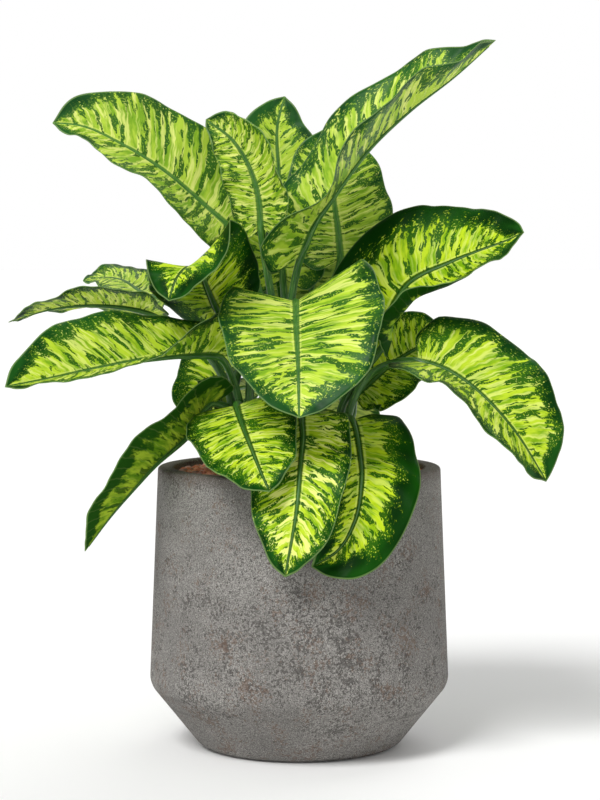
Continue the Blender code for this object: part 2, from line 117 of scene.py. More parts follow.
class Wire:
    """An output in a material's node tree."""

    def __init__(self, tree, socket=None):
        self.tree = tree
        self.socket = socket

    def node(self, kind, settings=None, sockets=None, out=0):
        """Add a node, its settings first and then its sockets: wires, values or hex colours."""
        made = self.tree.nodes.new(kind)
        for name, value in (settings or {}).items():
            if name == "stops":
                ramp = made.color_ramp
                while len(ramp.elements) < len(value):
                    ramp.elements.new(0.5)
                for stop, (place, colour) in zip(ramp.elements, value):
                    stop.position = place
                    stop.color = tint(colour)
            else:
                setattr(made, name, value)
        for name, value in (sockets or {}).items():
            if isinstance(value, Wire):
                self.tree.links.new(value.socket, made.inputs[name])
            else:
                made.inputs[name].default_value = tint(value) if isinstance(value, str) else value
        return Wire(self.tree, made.outputs[out])

    def maths(self, operation, *values):
        return self.node("ShaderNodeMath", {"operation": operation}, dict(enumerate(values)))

    def __add__(self, other):
        return self.maths("ADD", self, other)

    def __radd__(self, other):
        return self.maths("ADD", other, self)

    def __sub__(self, other):
        return self.maths("SUBTRACT", self, other)

    def __rsub__(self, other):
        return self.maths("SUBTRACT", other, self)

    def __mul__(self, other):
        return self.maths("MULTIPLY", self, other)

    def __rmul__(self, other):
        return self.maths("MULTIPLY", other, self)

    def size(self):
        return self.maths("ABSOLUTE", self)

    def sine(self):
        return self.maths("SINE", self)

    def least(self, other):
        return self.maths("MINIMUM", self, other)

    def most(self, other):
        return self.maths("MAXIMUM", self, other)

    def rise(self, low, high):
        """0 below low and 1 above high, with a soft step between."""
        return self.node(
            "ShaderNodeMapRange",
            {"interpolation_type": "SMOOTHSTEP"},
            {"Value": self, "From Min": low, "From Max": high},
        )

    def paint(self, under, over):
        """Where this wire is 1, the colour over, and where it is 0, the colour under."""
        sockets = {0: self, 6: under, 7: over}
        return self.node("ShaderNodeMix", {"data_type": "RGBA"}, sockets, out=2)

    def point(self, x, y, z):
        return self.node("ShaderNodeCombineXYZ", None, {0: x, 1: y, 2: z})

    def cloud(self, place, scale, detail=2.0, roughness=0.5):
        """Soft noise from about 0 to 1."""
        return self.node(
            "ShaderNodeTexNoise",
            {"noise_dimensions": "3D"},
            {"Vector": place, "Scale": scale, "Detail": detail, "Roughness": roughness},
        )

    def grown(self, name):
        """A value stored on the mesh."""
        return self.node("ShaderNodeAttribute", {"attribute_name": name}, None, out=2)

    def grown_place(self, name):
        """A vector stored on the mesh."""
        return self.node("ShaderNodeAttribute", {"attribute_name": name}, None, out=1)

    def place(self):
        """Where the point is in space, in metres."""
        return self.node("ShaderNodeTexCoord", out=3)

    def bump(self, height, distance, strength=1.0):
        return self.node(
            "ShaderNodeBump", None, {"Height": height, "Distance": distance, "Strength": strength}
        )


def tint(code):
    """A colour from its hex code, as the linear values that a shader reads."""
    parts = [int(code[i : i + 2], 16) / 255 for i in (1, 3, 5)]
    linear = [c / 12.92 if c <= 0.04045 else ((c + 0.055) / 1.055) ** 2.4 for c in parts]
    return (*linear, 1.0)


def new_finish(name):
    """A new material, the wire that its nodes are added with, and its Principled shader."""
    finish = bpy.data.materials.new(name)
    finish.use_nodes = True
    return finish, Wire(finish.node_tree), finish.node_tree.nodes["Principled BSDF"]


def connect(shader, **wires):
    """Link wires to the shader's sockets, whose names are written with _ for a space."""
    for name, wire in wires.items():
        shader.id_data.links.new(wire.socket, shader.inputs[name.replace("_", " ")])


# %% [markdown]
# Light streaks follow the leaf's side veins out from the midrib, break up into fingers and specks, and
# end in a dark green margin. Plain noise would look like camouflage, so every pattern here is drawn in
# the leaf's own coordinates, which are stored on each mesh: `vein` says which side vein a point lies
# on, and `across` how far out along it. Noise that changes fast from vein to vein and slowly along
# them gives streaks that run the right way, and a little `sway` makes them wander.

# %% The pattern that both faces of a leaf share

SIDE_VEINS = 26


def leaf_pattern(wire):
    """Masks and noises in the leaf's own coordinates."""
    vein, across, seed = wire.grown("vein"), wire.grown("across"), wire.grown("seed")
    reach = across.size()
    border = 0.80 + wire.grown("spread") - 0.42 * vein.rise(0.70, 1.0)
    border = border - 0.10 * (1 - vein.rise(0, 0.12))
    sway = wire.cloud(wire.point(vein * 14, across * 6, seed * 2), 1, 1, 0.5)
    vein = vein + (sway - 0.5) * 0.020
    patch = wire.cloud(wire.point(vein * 6, across * 2.2, seed * 3), 1, 1)
    streak = wire.cloud(wire.point(vein * 32, across * 2.0, seed * 9), 1, 3, 0.58)
    grain = wire.cloud(wire.point(vein * 85, across * 14, seed * 5), 1, 3, 0.6)
    edge = border - reach + (streak - 0.5) * 0.75 + (patch - 0.5) * 0.25 + (grain - 0.5) * 0.30
    dash = wire.cloud(wire.point(vein * 46, across * 2.4, seed * 7), 1, 2, 0.55)
    dash = dash + (grain - 0.5) * 0.14 + (patch - 0.5) * 0.22 + reach.rise(0.35, 0.85) * 0.03
    return {
        "vein": vein,
        "reach": reach,
        "seed": seed,
        "patch": patch,
        "streak": streak,
        "grain": grain,
        "edge": edge,
        "dash": dash,
        "rib": 1 - wire.grown("rib").rise(0.80, 1.15),
        "beside_rib": wire.grown("rib").rise(1.0, 1.3) * (1 - wire.grown("rib").rise(1.4, 2.1)),
        # The rim mask marks a painted highlight along the leaf's margin.
        "rim": 1 - wire.grown("rim").rise(0.5, 1.3),
        # Each leaf's number for age and painted shade: 0 young with painted sheen, 1 old with painted shade.
        "shade": wire.grown("shade"),
        "cream": wire.grown("cream"),
    }


# %% Upper face of the leaves


def upper_leaf_finish(name, gloss):
    finish, wire, shader = new_finish(name)
    p = leaf_pattern(wire)
    vein, reach, shade, edge = p["vein"], p["reach"], p["shade"], p["edge"]

    speck = wire.cloud(wire.point(vein * 130, reach * 40, p["seed"]), 1, 1)
    speck = speck.rise(0.60, 0.66) * edge.rise(-0.24, -0.08)
    light = (edge.rise(-0.01, 0.04) * (1 - p["dash"].rise(0.535, 0.575))).most(speck * 0.8)
    halo = edge.rise(-0.20, 0.02)

    # The leaf's age-and-shade number mixes its greens. On young leaves the dark margin is lighter and bluer,
    # a painted sheen. On old leaves all greens are deeper, partly real age and partly painted shade.
    deep = p["patch"].rise(0.35, 0.65).paint("#124217", "#265c24")
    deep_low = p["patch"].rise(0.35, 0.65).paint("#052c02", "#124706")
    dark = shade.paint(deep, deep_low)
    middle = shade.paint("#4c7a24", "#3d6f0c")
    fresh = p["streak"].rise(0.38, 0.60).paint("#80ac2a", "#b4d244")
    fresh_low = p["streak"].rise(0.38, 0.60).paint("#79a60c", "#b9d320")
    fresh = shade.paint(fresh, fresh_low)
    stripe = wire.cloud(wire.point(vein * 60, reach * 1.5, p["seed"] * 4), 1, 2, 0.55)
    line = (vein * (math.pi * SIDE_VEINS) + (p["grain"] - 0.5) * 0.9).sine().size()
    line = 1 - line.rise(0.05, 0.42)
    pale = (stripe.rise(0.50, 0.62) * 0.85 + line * 0.40).least(1) * (0.40 + p["cream"])
    pale = pale.most(p["beside_rib"] * 0.5)
    fresh = pale.least(1).paint(fresh, "#e2eb80")

    colour = (halo * 0.55).paint(dark, middle)
    colour = light.paint(colour, fresh)
    # On old leaves the midrib is darkened with the same painted shade.
    rib_colour = shade.paint("#55883c", "#123f0a")
    colour = (p["rib"] * 0.92).paint(colour, rib_colour)
    # The pale line along the margin is a painted highlight, where the edge catches the light.
    colour = (p["rim"] * 0.55).paint(colour, "#86a562")
    connect(shader, Base_Color=colour, Roughness=0.34 + p["grain"] * 0.16 + light * 0.06)

    ridges = (vein * (math.pi * SIDE_VEINS)).sine()
    ridges = ridges * reach.rise(0.02, 0.25) * (1 - reach.rise(0.75, 1.0))
    height = ridges * 0.5 + p["streak"] * 0.5 + p["grain"] * 0.12 + p["rib"] * 1.6
    connect(shader, Normal=wire.bump(height, 0.0008, 0.7))
    shader.inputs["Specular IOR Level"].default_value = gloss
    return finish


young_leaf = upper_leaf_finish("variegated young leaf", 0.12)
old_leaf = upper_leaf_finish("variegated old leaf", 0.05)
print("upper leaf nodes:", len(young_leaf.node_tree.nodes))

# %% [markdown]
# Turned over, the same leaf is paler and duller. The pattern shows through softly, and a bump raises
# the side veins into fine ridges. The midrib needs none: its keel is part of the mesh.

# %% Underside of the leaves


def under_leaf_finish(name, gloss):
    finish, wire, shader = new_finish(name)
    p = leaf_pattern(wire)
    vein, reach, shade = p["vein"], p["reach"], p["shade"]
    light = p["edge"].rise(-0.06, 0.10) * (1 - p["dash"].rise(0.52, 0.62) * 0.85)
    # Old undersides get deeper greens, partly real age and partly painted shade.
    green = shade.paint("#35681c", "#0f3c05")
    pale = p["streak"].rise(0.38, 0.62).paint("#86ac2c", "#c3d84e")
    pale_low = p["streak"].rise(0.38, 0.62).paint("#4d7f0e", "#93b41f")
    pale = shade.paint(pale, pale_low)
    pale = (p["cream"] * (0.3 + p["streak"])).least(1).paint(pale, "#d5df94")
    colour = light.paint(green, pale)
    line = 1 - (vein * (math.pi * 22)).sine().size().rise(0.04, 0.30)
    colour = (line * (0.26 - shade * 0.24)).paint(colour, "#a9c070")
    # On old undersides the midrib is darker, partly painted shade.
    rib_colour = shade.paint("#7da04f", "#2b5d16")
    colour = (p["rib"] * 0.8).paint(colour, rib_colour)
    # The pale line along the margin is a painted highlight, where the edge catches the light.
    colour = (p["rim"] * 0.55).paint(colour, "#86a562")
    connect(shader, Base_Color=colour, Roughness=0.46 + p["grain"] * 0.16)
    height = line * (1 - reach.rise(0.7, 1.0)) * 0.8 + p["streak"] * 0.3 + p["grain"] * 0.1
    connect(shader, Normal=wire.bump(height, 0.0007, 0.6))
    shader.inputs["Specular IOR Level"].default_value = gloss
    return finish


young_under = under_leaf_finish("young leaf underside", 0.10)
old_under = under_leaf_finish("old leaf underside", 0.04)

# %% [markdown]
# The stalks are round, smooth and waxy, mid green with paler lines that run their whole length. The
# noise is stretched along the stalk by storing a place on the mesh that turns fast and climbs slowly.

# %% Leaf stalks


def stalk_finish():
    finish, wire, shader = new_finish("waxy leaf stalk")
    place, shade = wire.grown_place("stalk_place"), wire.grown("shade")
    lines = wire.cloud(place, 5, 3, 0.6)
    mottle = wire.cloud(place, 1.6, 2, 0.5)
    green = mottle.rise(0.35, 0.65).paint("#23591a", "#3b7424")
    colour = lines.rise(0.50, 0.72).paint(green, "#79a64c")
    # Stalks of old leaves are darkened, partly real age and partly painted shade.
    colour = (shade * 0.35).paint(colour, "#12390c")
    connect(shader, Base_Color=colour, Roughness=0.32 + lines * 0.15)
    connect(shader, Normal=wire.bump(lines, 0.0005, 0.4))
    return finish


stalk_green = stalk_finish()

# %% [markdown]
# The planter is a cement and fibre mix that was rubbed down after casting. Its grey is never even:
# soft clouds, a darker mottled belt around the lower half, rusty smears, and countless pale and dark
# grains of sand. All of it is drawn in metres on the object's own place, so a grain stays a grain.

# %% Rough fibre cement


def cement_finish():
    finish, wire, shader = new_finish("rough fibre cement")
    place = wire.place()
    height = place.node("ShaderNodeSeparateXYZ", None, {0: place}, out=2)
    clouds = wire.cloud(place, 9, 4, 0.6)
    blots = wire.cloud(place, 40, 4, 0.65)
    flecks = wire.cloud(place, 300, 4, 0.7)
    grain = wire.cloud(place, 780, 3, 0.7)
    fine = wire.cloud(place, 1000, 2, 0.6)
    stretched = place.node("ShaderNodeMapping", None, {"Vector": place, "Scale": (6, 6, 120)})
    bands = wire.cloud(stretched, 1, 3, 0.6)

    colour = clouds.rise(0.30, 0.70).paint("#8a8783", "#a8a5a0")
    colour = grain.rise(0.36, 0.62).paint("#5a5855", colour)
    belt = height.rise(0.02, 0.10) * (1 - height.rise(0.15, 0.27))
    gather = (blots - 0.5) * 0.55 + (clouds - 0.5) * 0.35 + belt * 0.06
    dark = (flecks + gather).rise(0.60, 0.65)
    colour = (dark * 0.66).paint(colour, "#3d3a37")
    rust = wire.cloud(place, 260, 4, 0.7)
    rust_wide = wire.cloud(place, 30, 3, 0.6)
    rusty = (rust + (rust_wide - 0.5) * 0.8).rise(0.59, 0.66)
    colour = (rusty * 0.55).paint(colour, "#6a5344")
    low = 1 - height.rise(0.04, 0.12)
    colour = (bands.rise(0.55, 0.75) * low * 0.45).paint(colour, "#4c4a47")
    rim = height.rise(0.300, 0.3175)
    colour = (rim * (0.25 + clouds * 0.5)).paint(colour, "#54463f")

    dark_grain = fine.rise(0.60, 0.67)
    colour = (dark_grain * 0.65).paint(colour, "#3f3d3b")
    sand = place.node(
        "ShaderNodeTexVoronoi",
        {"voronoi_dimensions": "3D", "feature": "F1"},
        {"Vector": place, "Scale": 330.0, "Randomness": 1.0},
    )
    pick = wire.cloud(place, 150, 0)
    white = (1 - sand.rise(0.12, 0.24)) * pick.rise(0.50, 0.58)
    colour = (white * 0.60).paint(colour, "#c9c6bf")
    connect(shader, Base_Color=colour, Roughness=0.86 + grain * 0.12)
    relief = flecks * 0.8 + grain * 0.5 + fine * 0.4 + white * 0.3 - dark_grain * 0.4
    connect(shader, Normal=wire.bump(relief, 0.0012, 0.8))
    shader.inputs["Specular IOR Level"].default_value = 0.25
    return finish


cement = cement_finish()
print("cement nodes:", len(cement.node_tree.nodes))

# %% [markdown]
# The granules are broken lumps of fired clay, dusty orange red with some that fired to a greyish mauve.
# Each lump keeps one colour, so the colour is read from a number stored on it, with pores on top.

# %% Fired clay


def clay_finish():
    finish, wire, shader = new_finish("fired clay")
    place = wire.place()
    lump = wire.grown("lump")
    colour = lump.node(
        "ShaderNodeValToRGB",
        {
            "stops": [
                (0.0, "#b4674f"),
                (0.35, "#e08468"),
                (0.62, "#f4b196"),
                (0.8, "#bd908a"),
                (1.0, "#8f6a5e"),
            ]
        },
        {0: lump},
    )
    pores = wire.cloud(place, 900, 3, 0.65)
    dust = wire.cloud(place, 160, 2)
    colour = (pores.rise(0.55, 0.72) * 0.5).paint(colour, "#43291f")
    colour = (dust.rise(0.55, 0.8) * 0.35).paint(colour, "#d7ab94")
    connect(shader, Base_Color=colour, Roughness=0.88 + pores * 0.1)
    connect(shader, Normal=wire.bump(pores, 0.0006, 0.8))
    return finish


clay = clay_finish()

# %% [markdown]
# A cane is the old stem. It is green and ringed by the scars of leaves that have dropped, with a tan
# papery edge at each scar and grey-brown flecks between them.

# %% Ringed cane


def cane_finish():
    finish, wire, shader = new_finish("ringed cane")
    place = wire.place()
    scar = wire.grown("scar")
    stretched = place.node("ShaderNodeMapping", None, {"Vector": place, "Scale": (260, 260, 40)})
    fibres = wire.cloud(stretched, 1, 3, 0.6)
    mottle = wire.cloud(place, 70, 3, 0.6)
    colour = mottle.rise(0.35, 0.65).paint("#4c6a2b", "#7c8f49")
    colour = (fibres.rise(0.55, 0.75) * 0.5).paint(colour, "#8e8a63")
    colour = (scar * (0.55 + fibres * 0.4)).paint(colour, "#8c7550")
    colour = (scar.rise(0.75, 1.0) * 0.6).paint(colour, "#4f3f2a")
    connect(shader, Base_Color=colour, Roughness=0.48 + fibres * 0.2 + scar * 0.2)
    connect(shader, Normal=wire.bump(fibres + mottle * 0.5, 0.0006, 0.5))
    return finish


cane_green = cane_finish()

# %% [markdown]
# Every leaf grows the same way and is bent differently, so the leaves are one table and one function.
# The table says where the stalk springs, which points stalk and midrib pass through, which way the
# blade faces, how wide each half is, and how steeply it folds and curls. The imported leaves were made
# from the same table, so the fine leaves below lie exactly on them.

# %% The canes and the leaf table


@dataclass(frozen=True)
class Cane:
    """A stem: where it stands, and the height of the head that its stalks grow from."""

    x: float
    y: float
    top: float


CANES = {
    "left": Cane(-6.6, -3.5, 37.0),
    "right": Cane(4.4, -3.8, 35.5),
    "middle": Cane(-1.0, 1.2, 40.0),
    "back": Cane(0.5, 7.5, 37.0),
}


@dataclass(frozen=True)
class Leaf:
    """One leaf, in centimetres and degrees."""

    cane: str
    spot: float
    stalk: tuple
    rib: tuple
    face: tuple
    half: tuple
    face_tip: tuple = None
    left: tuple = (10, 10, 10)
    right: tuple = (10, 10, 10)
    left_curl: tuple = (0, 0, 0)
    right_curl: tuple = (0, 0, 0)
    wave: tuple = (0.25, 3, 0)


LEAVES = {
    "leaf_top_right": Leaf(
        "middle", None, ((-1.2, 0.2, 47.0),),
        ((0.2, -1.5, 55.6), (1.5, -1.8, 59.0), (3.7, -2.3, 62.2), (7.5, -3.0, 67.3),
         (12.3, -3.5, 71.8), (17.3, -4.0, 75.6), (21.7, -4.5, 79.5)),
        face=(-90, 42), half=(6.9, 7.2), left=(52, 52, 52, 55, 45), right=(50, 8, 22, 24, 20),
        wave=(0.55, 3.2, 0.0),
    ),
    "leaf_top_left": Leaf(
        "middle", -120, ((-3.2, 1.9, 46.0), (-4.9, 1.4, 52.5)),
        ((-7.3, -0.1, 58.1), (-10.9, -1.2, 61.5), (-15.1, -3.0, 65.1), (-19.7, -4.5, 68.0),
         (-24.2, -5.5, 70.0), (-27.2, -6.0, 70.3)),
        face=(33, 36), half=(6.4, 7.3), left=(5, 18, 22, 22, 20), right=(22, 22, 25, 35, 50),
        wave=(0.3, 3, 0.1),
    ),
    "leaf_rolled": Leaf(
        "middle", -60, ((-3.0, -0.4, 50.0),),
        ((-4.3, -1.6, 58.8), (-4.5, -2.2, 61.8), (-5.4, -2.8, 65.2), (-7.5, -3.4, 68.6), (-10.4, -3.6, 70.8)),
        face=(-20, 12), half=(3.4, 5.2), left=(15, 15, 15), right=(15, 15, 25),
        right_curl=(30, 50, 40),
    ),
    "leaf_top_centre": Leaf(
        "middle", 180, ((-1.4, 4.4, 47.0),),
        ((-1.9, 7.2, 53.0), (-2.2, 9.2, 59.5), (-2.4, 10.5, 65.1), (-2.5, 11.5, 71.3), (-1.7, 12.0, 74.3)),
        face=(0, 20), half=(6.3, 6.0),
    ),
    "leaf_centre_right": Leaf(
        "middle", 120, ((1.6, 3.3, 49.0),),
        ((4.7, 4.6, 54.9), (4.6, 5.0, 57.3), (4.0, 6.0, 62.4), (3.9, 7.0, 66.7), (4.3, 8.0, 70.7)),
        face=(0, 20), half=(6.0, 6.4),
    ),
    "leaf_right": Leaf(
        "right", None, ((4.7, -3.7, 38.5), (6.4, -3.0, 41.6)),
        ((9.8, -2.0, 46.4), (10.3, -2.5, 49.5), (11.8, -3.0, 52.2), (16.8, -4.5, 55.0),
         (20.0, -5.5, 56.3), (23.2, -6.5, 57.5), (24.7, -7.5, 58.3)),
        face=(-90, 62), half=(8.4, 7.5),
        left=(80, 65, 48, 35), right=(-30, -60, -45, -20),
        right_curl=(90, 110, 70, 30),
    ),
    "leaf_right_low": Leaf(
        "right", 60, ((7.8, -4.5, 42.3),),
        ((13.1, -8.0, 44.1), (15.8, -9.5, 43.4), (17.9, -10.5, 42.2), (20.1, -12.0, 40.4),
         (23.2, -13.5, 36.9), (26.7, -14.0, 31.4)),
        face=(40, 33), half=(8.0, 7.5), left=(21, 21, 21), right=(21, 21, 21),
    ),
    "leaf_right_under": Leaf(
        "right", 120, ((5.9, -2.6, 37.6),),
        ((6.3, -1.3, 39.6), (8.0, -1.0, 41.2), (10.6, -0.2, 43.4), (14.0, 1.2, 45.4), (17.3, 3.0, 46.6)),
        face=(0, 20), half=(5.6, 5.0), right=(35, 30, 20),
    ),
    "leaf_front": Leaf(
        "middle", 0, ((-0.6, -2.4, 46.0), (-0.5, -4.2, 49.8)),
        ((-0.4, -6.0, 50.6), (-0.3, -12.0, 47.7), (-0.1, -18.0, 43.7), (0.0, -22.0, 38.9)),
        face=(0, 70), half=(10.2, 8.4), face_tip=(0, 35), left=(32, 22, 5), right=(14, 10, 8),
    ),
    "leaf_left_curled": Leaf(
        "left", 60, ((-5.6, -3.6, 42.0), (-6.5, -2.3, 46.5)),
        ((-9.0, -2.2, 49.2), (-10.2, -5.0, 51.9), (-10.9, -8.5, 53.9), (-12.0, -11.5, 54.6),
         (-13.2, -13.5, 53.3), (-14.0, -14.5, 50.9)),
        face=(-120, 50), half=(7.0, 6.0), face_tip=(-30, 10), left=(0, 0, 0), right=(45, 40, 10),
    ),
    "leaf_left_back": Leaf(
        "left", 120, ((-5.6, -0.6, 42.0), (-9.5, 2.5, 46.8)),
        ((-15.5, 4.5, 50.4), (-18.4, 6.0, 51.5), (-20.6, 7.0, 52.8), (-22.6, 7.5, 53.1), (-25.2, 7.5, 52.7)),
        face=(0, 68), half=(4.6, 5.2), left=(8, 8, 8), right=(-3, -3, 0),
    ),
    "leaf_left_narrow": Leaf(
        "left", -120, ((-8.6, -2.6, 42.0), (-11.5, -2.6, 46.0)),
        ((-16.0, -1.0, 49.0), (-22.5, -2.6, 50.2), (-28.0, -3.8, 49.7), (-32.4, -4.6, 48.3)),
        face=(0, 88), half=(5.2, 3.2), left=(20, 26, 18), right=(-12, -12, -5),
    ),
    "leaf_left": Leaf(
        "left", None, ((-7.3, -4.4, 41.5),),
        ((-8.8, -6.0, 44.4), (-12.0, -8.0, 44.8), (-16.3, -10.5, 44.5), (-22.5, -14.0, 43.5),
         (-27.6, -16.5, 42.5), (-31.2, -18.0, 41.9)),
        face=(0, 55), half=(6.6, 7.2), left=(95, 60, 33, 32, 25), right=(5, 8, 22, 30, 35),
    ),
    "leaf_left_drooping": Leaf(
        "left", -60, (),
        ((-9.6, -4.4, 39.2), (-12.6, -6.6, 35.6), (-15.9, -8.8, 32.7), (-18.0, -10.5, 30.4),
         (-20.4, -12.0, 27.6), (-23.3, -13.0, 23.7)),
        face=(-90, 45), half=(5.6, 4.2), left=(28, 38, 42, 35), right=(8, 15, 15),
    ),
    "leaf_left_under": Leaf(
        "left", 180, ((-7.2, -0.9, 40.3),),
        ((-7.0, 1.2, 42.8), (-8.5, 3.6, 41.8), (-10.0, 5.8, 38.8), (-10.8, 7.2, 35.0)),
        face=(-10, 35), half=(6.0, 6.2),
    ),
    "leaf_front_left": Leaf(
        "left", 0, (),
        ((-6.9, -9.0, 39.3), (-6.1, -14.0, 37.5), (-5.0, -17.5, 35.1), (-3.9, -20.0, 32.7),
         (-3.1, -21.5, 31.1)),
        face=(0, 60), half=(5.7, 6.0), left=(15, 12, 10), right=(-12, -5, 0),
    ),
    "leaf_front_low": Leaf(
        "right", -60, (),
        ((0.5, -9.5, 38.8), (0.4, -14.5, 35.9), (0.1, -17.6, 33.0), (-0.2, -19.5, 29.5), (-1.5, -20.4, 21.9)),
        face=(0, 60), half=(5.3, 5.8), face_tip=(0, 0), left=(3, 9, 10), right=(-15, -15, 0),
    ),
    "leaf_front_right": Leaf(
        "right", 0, (),
        ((5.8, -9.0, 37.7), (6.6, -13.0, 34.2), (6.7, -15.8, 31.6), (6.0, -17.0, 27.6), (4.2, -17.3, 24.4),
         (1.3, -17.5, 22.6)),
        face=(12, 60), half=(6.3, 3.6), face_tip=(12, 0), left=(0, 8, 24), right=(10, 12, 15),
    ),
    "leaf_back_low": Leaf(
        "back", 180, ((0.5, 9.4, 41.0),),
        ((0.5, 12.0, 43.3), (0.2, 18.0, 43.0), (0.0, 24.0, 39.0), (-0.3, 28.0, 32.5)),
        face=(180, 60), half=(6.3, 6.3), face_tip=(180, 25),
    ),
    "leaf_back_left": Leaf(
        "back", -60, ((-1.8, 8.4, 42.5),),
        ((-4.0, 11.0, 44.8), (-8.0, 14.5, 46.2), (-12.0, 18.0, 46.4), (-16.0, 22.0, 45.0)),
        face=(-140, 78), half=(5.2, 5.2),
    ),
    "leaf_back_right": Leaf(
        "back", 60, ((3.2, 8.0, 45.0),),
        ((7.8, 9.7, 50.5), (10.0, 12.5, 53.5), (12.8, 15.5, 55.6), (16.0, 19.0, 56.6)),
        face=(150, 72), half=(4.8, 5.2),
    ),
    "leaf_back_upright": Leaf(
        "back", None, ((1.2, 8.6, 43.0),),
        ((1.4, 9.8, 50.5), (1.8, 11.8, 56.0), (2.2, 13.3, 62.0), (2.6, 14.2, 68.5)),
        face=(180, 30), half=(4.8, 4.8),
    ),
    "leaf_back_upper_left": Leaf(
        "back", 0, ((0.3, 6.6, 42.0), (-1.6, 8.6, 47.0)),
        ((-3.9, 11.2, 50.5), (-5.4, 13.8, 54.5), (-7.2, 16.5, 58.5), (-8.5, 19.0, 62.0)),
        face=(-160, 35), half=(4.4, 4.4),
    ),
    "leaf_back_right_low": Leaf(
        "back", 120, (),
        ((3.2, 11.5, 39.0), (4.4, 15.5, 39.2), (5.7, 20.0, 36.5), (6.5, 24.0, 31.5)),
        face=(160, 55), half=(4.6, 4.6),
    ),
    "leaf_back_left_low": Leaf(
        "back", -120, (),
        ((-4.2, 10.8, 39.6), (-6.5, 15.0, 40.0), (-9.0, 19.5, 38.0), (-11.0, 23.5, 33.5)),
        face=(-160, 55), half=(4.8, 4.8),
    ),
}
print("leaves:", len(LEAVES), "canes:", len(CANES))

# %% [markdown]
# No two leaves are painted quite alike. The young ones at the top are pale, with a lighter bluish margin
# that is a painted sheen; the old ones low down are deep and saturated, partly with painted shade; and a
# few are creamier, or darker with painted shade. A number for age and painted shade, cream and spread say
# so for each leaf, and end up as numbers stored on its mesh. Most undersides are duller, but a few leaves
# are streaked as strongly below as above.

# %% How each leaf is painted: age with painted shade (0 young with painted sheen, 1 old with painted shade), cream, and spread of the light centre

PAINT = {
    "leaf_top_right": (0.15, 0.45, 0.02),
    "leaf_top_left": (0.05, 0.60, 0.11),
    "leaf_rolled": (0.30, 0.75, 0.14),
    "leaf_top_centre": (0.25, 0.10, -0.06),
    "leaf_centre_right": (0.05, 0.60, 0.06),
    "leaf_right": (0.95, 0.05, -0.16),
    "leaf_right_low": (0.70, 0.30, -0.02),
    "leaf_right_under": (0.80, 0.20, 0.02),
    "leaf_front": (0.40, 0.45, 0.02),
    "leaf_left_curled": (0.95, 0.10, -0.12),
    "leaf_left_back": (0.40, 0.35, 0.00),
    "leaf_left_narrow": (0.60, 0.45, 0.04),
    "leaf_left": (0.55, 0.35, -0.02),
    "leaf_left_drooping": (0.70, 0.00, -0.10),
    "leaf_left_under": (0.90, 0.10, -0.05),
    "leaf_front_left": (0.90, 0.35, 0.02),
    "leaf_front_low": (0.80, 1.10, 0.06),
    "leaf_front_right": (1.00, 0.00, -0.22),
}
USUAL_PAINT = (0.55, 0.3, 0.0)
STREAKED_BELOW = ("leaf_left_curled", "leaf_top_right", "leaf_left_narrow", "leaf_left")

# %% [markdown]
# Smooth curves come from a cubic through a few stops. The midline is such a curve through the stalk's
# and the midrib's points, read by the share of its length, so that rows of the mesh are evenly spaced.

# %% Smooth curves and the midline of a leaf

PLANTER_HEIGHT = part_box("planter")[1].z
STALK_RING_RADIUS = 0.0108
STALK_FOOT_RADIUS = 0.0046
STALK_RADIUS = 0.0042
RIB_TIP_RADIUS = 0.0007
GAP = 0.0004


def direction(compass, elevation):
    """The unit vector towards a compass angle (0 front, 90 right) and an elevation, in degrees."""
    a, e = math.radians(compass), math.radians(elevation)
    return np.array((math.sin(a) * math.cos(e), -math.cos(a) * math.cos(e), math.sin(e)))


def unit(vectors):
    return vectors / np.linalg.norm(vectors, axis=-1, keepdims=True)


def eased(stops, at, marks=None):
    """Smooth values through stops, which lie at marks from 0 to 1 or evenly spaced."""
    stops, at = np.asarray(stops, float), np.asarray(at, float)
    marks = np.linspace(0, 1, len(stops)) if marks is None else np.asarray(marks, float)
    slopes = np.gradient(stops, marks, axis=0)
    i = np.clip(np.searchsorted(marks, at, side="right") - 1, 0, len(marks) - 2)
    step = marks[i + 1] - marks[i]
    t = (at - marks[i]) / step
    if stops.ndim == 2:
        step, t = step[:, None], t[:, None]
    return (
        (2 * t**3 - 3 * t**2 + 1) * stops[i]
        + (t**3 - 2 * t**2 + t) * step * slopes[i]
        + (3 * t**2 - 2 * t**3) * stops[i + 1]
        + (t**3 - t**2) * step * slopes[i + 1]
    )


class Midline:
    """The smooth line of a leaf's stalk and midrib, read by the share of its length."""

    def __init__(self, leaf):
        cane = CANES[leaf.cane]
        foot = np.array((cane.x, cane.y, cane.top)) * CM
        if leaf.spot is not None:
            foot = foot + direction(leaf.spot, 0) * STALK_RING_RADIUS
        foot[2] += GAP
        above = foot + np.array((0, 0, 1.2 * CM))
        rib = [np.array(p) * CM for p in leaf.rib]
        points = np.array([foot, above] + [np.array(p) * CM for p in leaf.stalk] + rib)
        chords = np.linalg.norm(np.diff(points, axis=0), axis=1)
        marks = np.concatenate(([0], np.cumsum(chords))) / chords.sum()
        self.points = eased(points, np.linspace(0, 1, 400), marks)
        steps = np.linalg.norm(np.diff(self.points, axis=0), axis=1)
        self.shares = np.concatenate(([0], np.cumsum(steps))) / steps.sum()
        self.length = steps.sum()
        self.base = self.shares[np.argmin(np.linalg.norm(self.points - rib[0], axis=1))]

    def at(self, share):
        return np.stack([np.interp(share, self.shares, self.points[:, k]) for k in range(3)], axis=-1)

    def heading(self, share):
        low, high = np.maximum(0.0, share - 0.01), np.minimum(1.0, share + 0.01)
        return unit(self.at(high) - self.at(low))


# %% [markdown]
# A blade's outline is two short lists: how far out each side vein reaches, and how far forward its end
# is swept. The first veins run backwards into the two lobes beside the stalk. Folding a half up and
# rolling it from the midrib to the margin is done with an exact arc, so the leaf isn't stretched.

# %% Where a point of a blade lies in space

